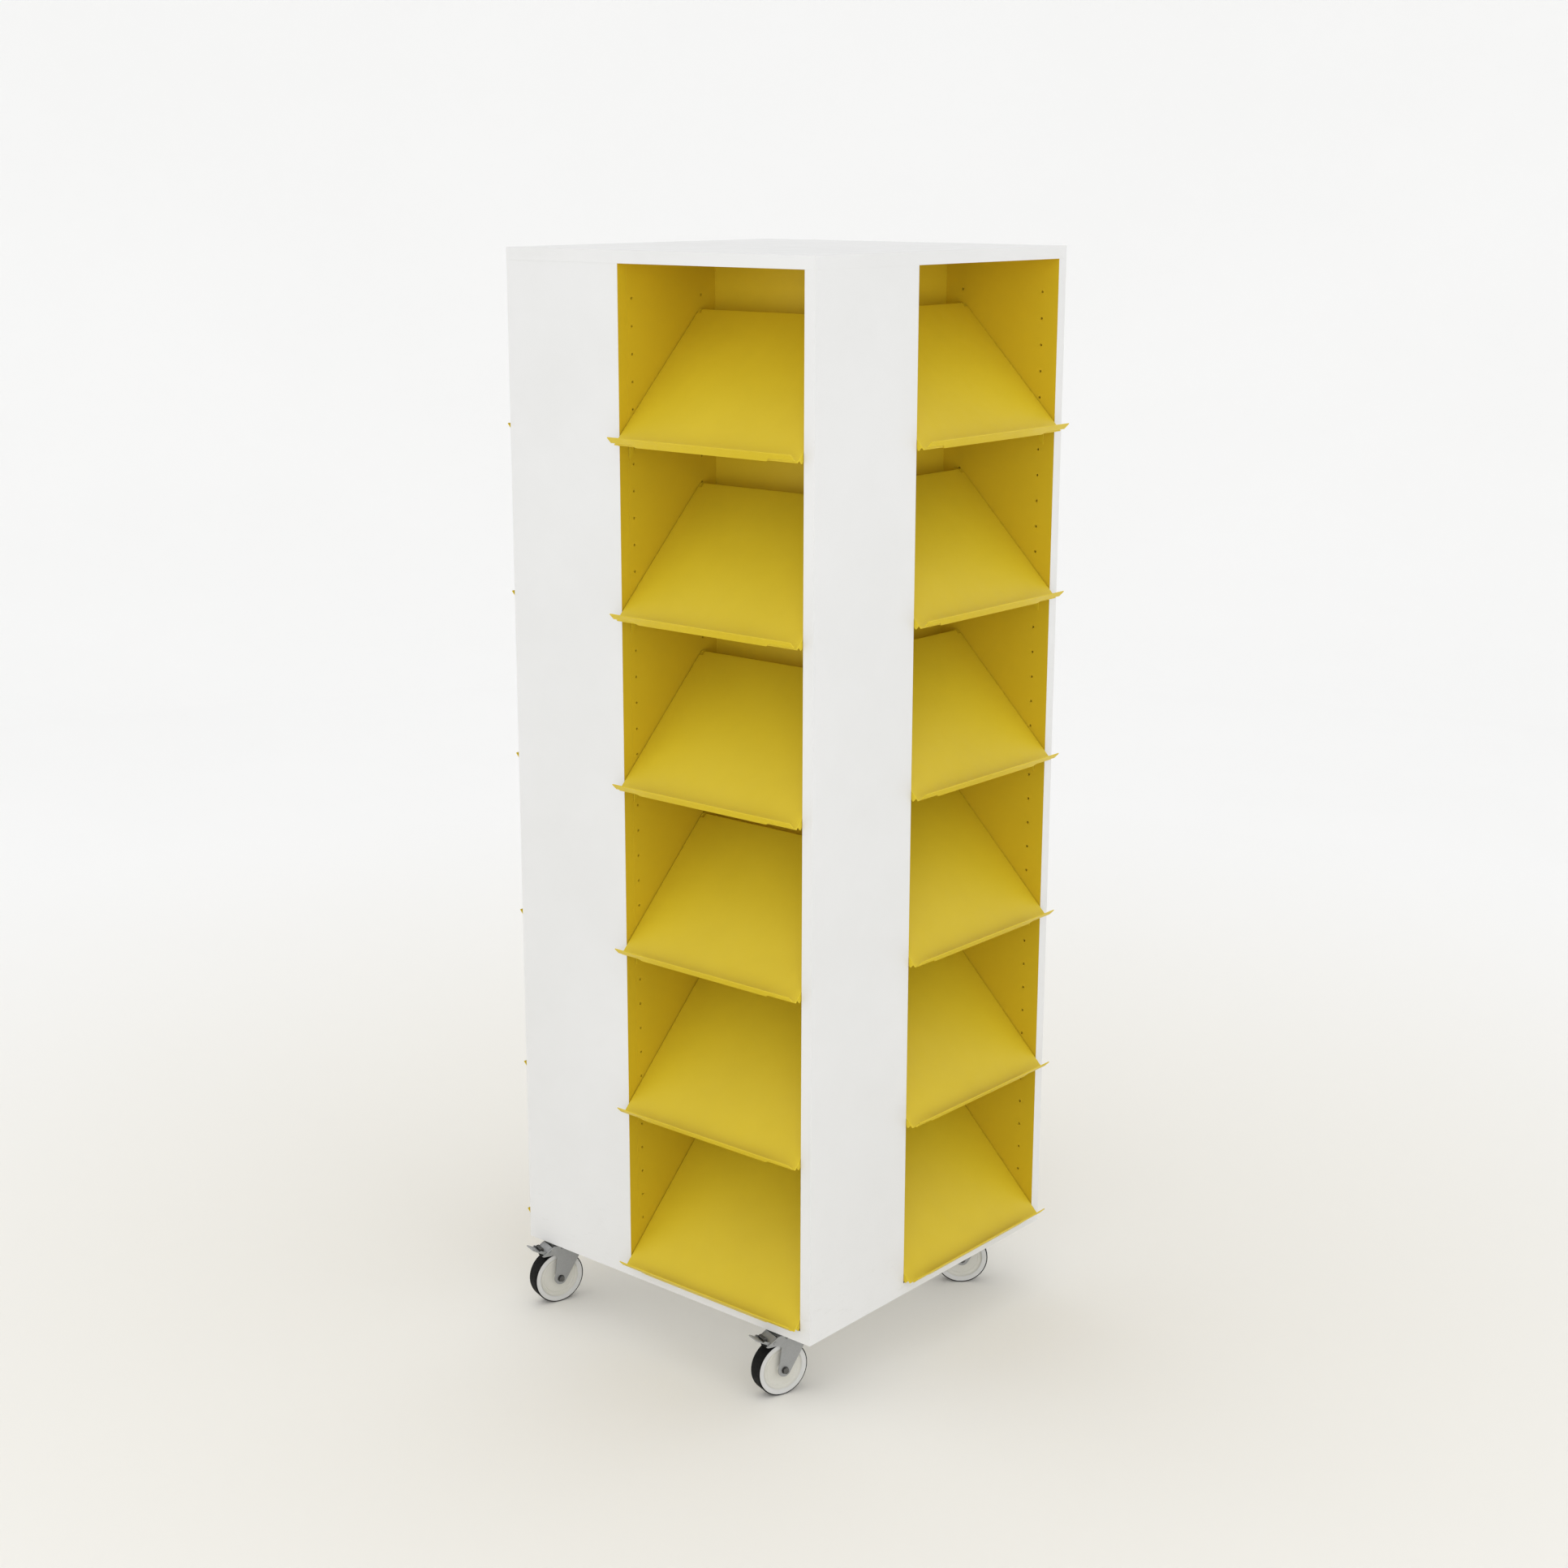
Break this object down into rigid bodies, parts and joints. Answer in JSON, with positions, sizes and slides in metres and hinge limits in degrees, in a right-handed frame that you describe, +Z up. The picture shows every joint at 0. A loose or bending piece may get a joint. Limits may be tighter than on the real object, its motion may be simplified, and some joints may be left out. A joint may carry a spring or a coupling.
{
  "type": "mobile magazine display tower",
  "caption": "Display tower on braked castors, with sloping lipped steel shelves that show magazines face out on every side.",
  "frame": {"origin": "on the floor, under the middle of the tower", "axes": "+Z up, -Y out of the front side, +X out of the right side"},
  "size_m": [0.6552, 0.6634, 1.705],
  "materials": {
    "white_laminate": "satin melamine",
    "yellow_laminate": "satin melamine",
    "yellow_steel": "satin powder coat",
    "beech": "raw",
    "zinc_steel": "zinc plated",
    "zinc_fork": "dull zinc plate",
    "dark_bolt": "dark zinc",
    "white_nylon": "moulded",
    "black_rubber": "smooth"
  },
  "bodies": {
    "cabinet": {"outer_panel_front": "white_laminate", "outer_panel_right": "white_laminate", "outer_panel_back": "white_laminate", "outer_panel_left": "white_laminate", "partition_front": "yellow_laminate", "partition_right": "yellow_laminate", "partition_back": "yellow_laminate", "partition_left": "yellow_laminate", "bottom_board": "white_laminate", "top_board": "white_laminate", "dowels": "beech", "shelf_pins": "zinc_steel", "shelf_front_1": "yellow_steel", "shelf_front_2": "yellow_steel", "shelf_front_3": "yellow_steel", "shelf_front_4": "yellow_steel", "shelf_front_5": "yellow_steel", "shelf_front_6": "yellow_steel", "shelf_right_1": "yellow_steel", "shelf_right_2": "yellow_steel", "shelf_right_3": "yellow_steel", "shelf_right_4": "yellow_steel", "shelf_right_5": "yellow_steel", "shelf_right_6": "yellow_steel", "shelf_back_1": "yellow_steel", "shelf_back_2": "yellow_steel", "shelf_back_3": "yellow_steel", "shelf_back_4": "yellow_steel", "shelf_back_5": "yellow_steel", "shelf_back_6": "yellow_steel", "shelf_left_1": "yellow_steel", "shelf_left_2": "yellow_steel", "shelf_left_3": "yellow_steel", "shelf_left_4": "yellow_steel", "shelf_left_5": "yellow_steel", "shelf_left_6": "yellow_steel", "castor_plates": "zinc_steel", "castor_screws": "zinc_steel", "castor_kingpins": "zinc_steel", "castor_bearings": "zinc_steel"},
    "swivel_front_right": {"fork_front_right": "zinc_fork", "axle_front_right": "dark_bolt"},
    "wheel_front_right": {"wheel_front_right": "white_nylon", "tyre_front_right": "black_rubber"},
    "brake_front_right": {"brake_pedal_front_right": "zinc_fork"},
    "swivel_front_left": {"fork_front_left": "zinc_fork", "axle_front_left": "dark_bolt"},
    "wheel_front_left": {"wheel_front_left": "white_nylon", "tyre_front_left": "black_rubber"},
    "brake_front_left": {"brake_pedal_front_left": "zinc_fork"},
    "swivel_rear_right": {"fork_rear_right": "zinc_fork", "axle_rear_right": "dark_bolt"},
    "wheel_rear_right": {"wheel_rear_right": "white_nylon", "tyre_rear_right": "black_rubber"},
    "swivel_rear_left": {"fork_rear_left": "zinc_fork", "axle_rear_left": "dark_bolt"},
    "wheel_rear_left": {"wheel_rear_left": "white_nylon", "tyre_rear_left": "black_rubber"}
  },
  "joints": [
    {"name": "front_right_swivel", "type": "hinge", "parent": "cabinet", "child": "swivel_front_right", "pos_m": [0.242, -0.242, 0.0935], "axis": [0, 0, 1], "continuous": true},
    {"name": "front_right_roll", "type": "hinge", "parent": "swivel_front_right", "child": "wheel_front_right", "pos_m": [0.22778, -0.28575, 0.0435], "axis": [0.9511, -0.309, 0], "continuous": true},
    {"name": "front_right_brake", "type": "hinge", "parent": "swivel_front_right", "child": "brake_front_right", "pos_m": [0.22238, -0.30239, 0.0922], "axis": [0.9511, -0.309, 0], "range_deg": [0, 8.5]},
    {"name": "front_left_swivel", "type": "hinge", "parent": "cabinet", "child": "swivel_front_left", "pos_m": [-0.242, -0.242, 0.0935], "axis": [0, 0, 1], "continuous": true},
    {"name": "front_left_roll", "type": "hinge", "parent": "swivel_front_left", "child": "wheel_front_left", "pos_m": [-0.25622, -0.28575, 0.0435], "axis": [0.9511, -0.309, 0], "continuous": true},
    {"name": "front_left_brake", "type": "hinge", "parent": "swivel_front_left", "child": "brake_front_left", "pos_m": [-0.26162, -0.30239, 0.0922], "axis": [0.9511, -0.309, 0], "range_deg": [0, 8.5]},
    {"name": "rear_right_swivel", "type": "hinge", "parent": "cabinet", "child": "swivel_rear_right", "pos_m": [0.242, 0.242, 0.0935], "axis": [0, 0, 1], "continuous": true},
    {"name": "rear_right_roll", "type": "hinge", "parent": "swivel_rear_right", "child": "wheel_rear_right", "pos_m": [0.20781, 0.21122, 0.0435], "axis": [0.6691, -0.7431, 0], "continuous": true},
    {"name": "rear_left_swivel", "type": "hinge", "parent": "cabinet", "child": "swivel_rear_left", "pos_m": [-0.242, 0.242, 0.0935], "axis": [0, 0, 1], "continuous": true},
    {"name": "rear_left_roll", "type": "hinge", "parent": "swivel_rear_left", "child": "wheel_rear_left", "pos_m": [-0.26772, 0.20386, 0.0435], "axis": [0.829, -0.5592, 0], "continuous": true}
  ]
}
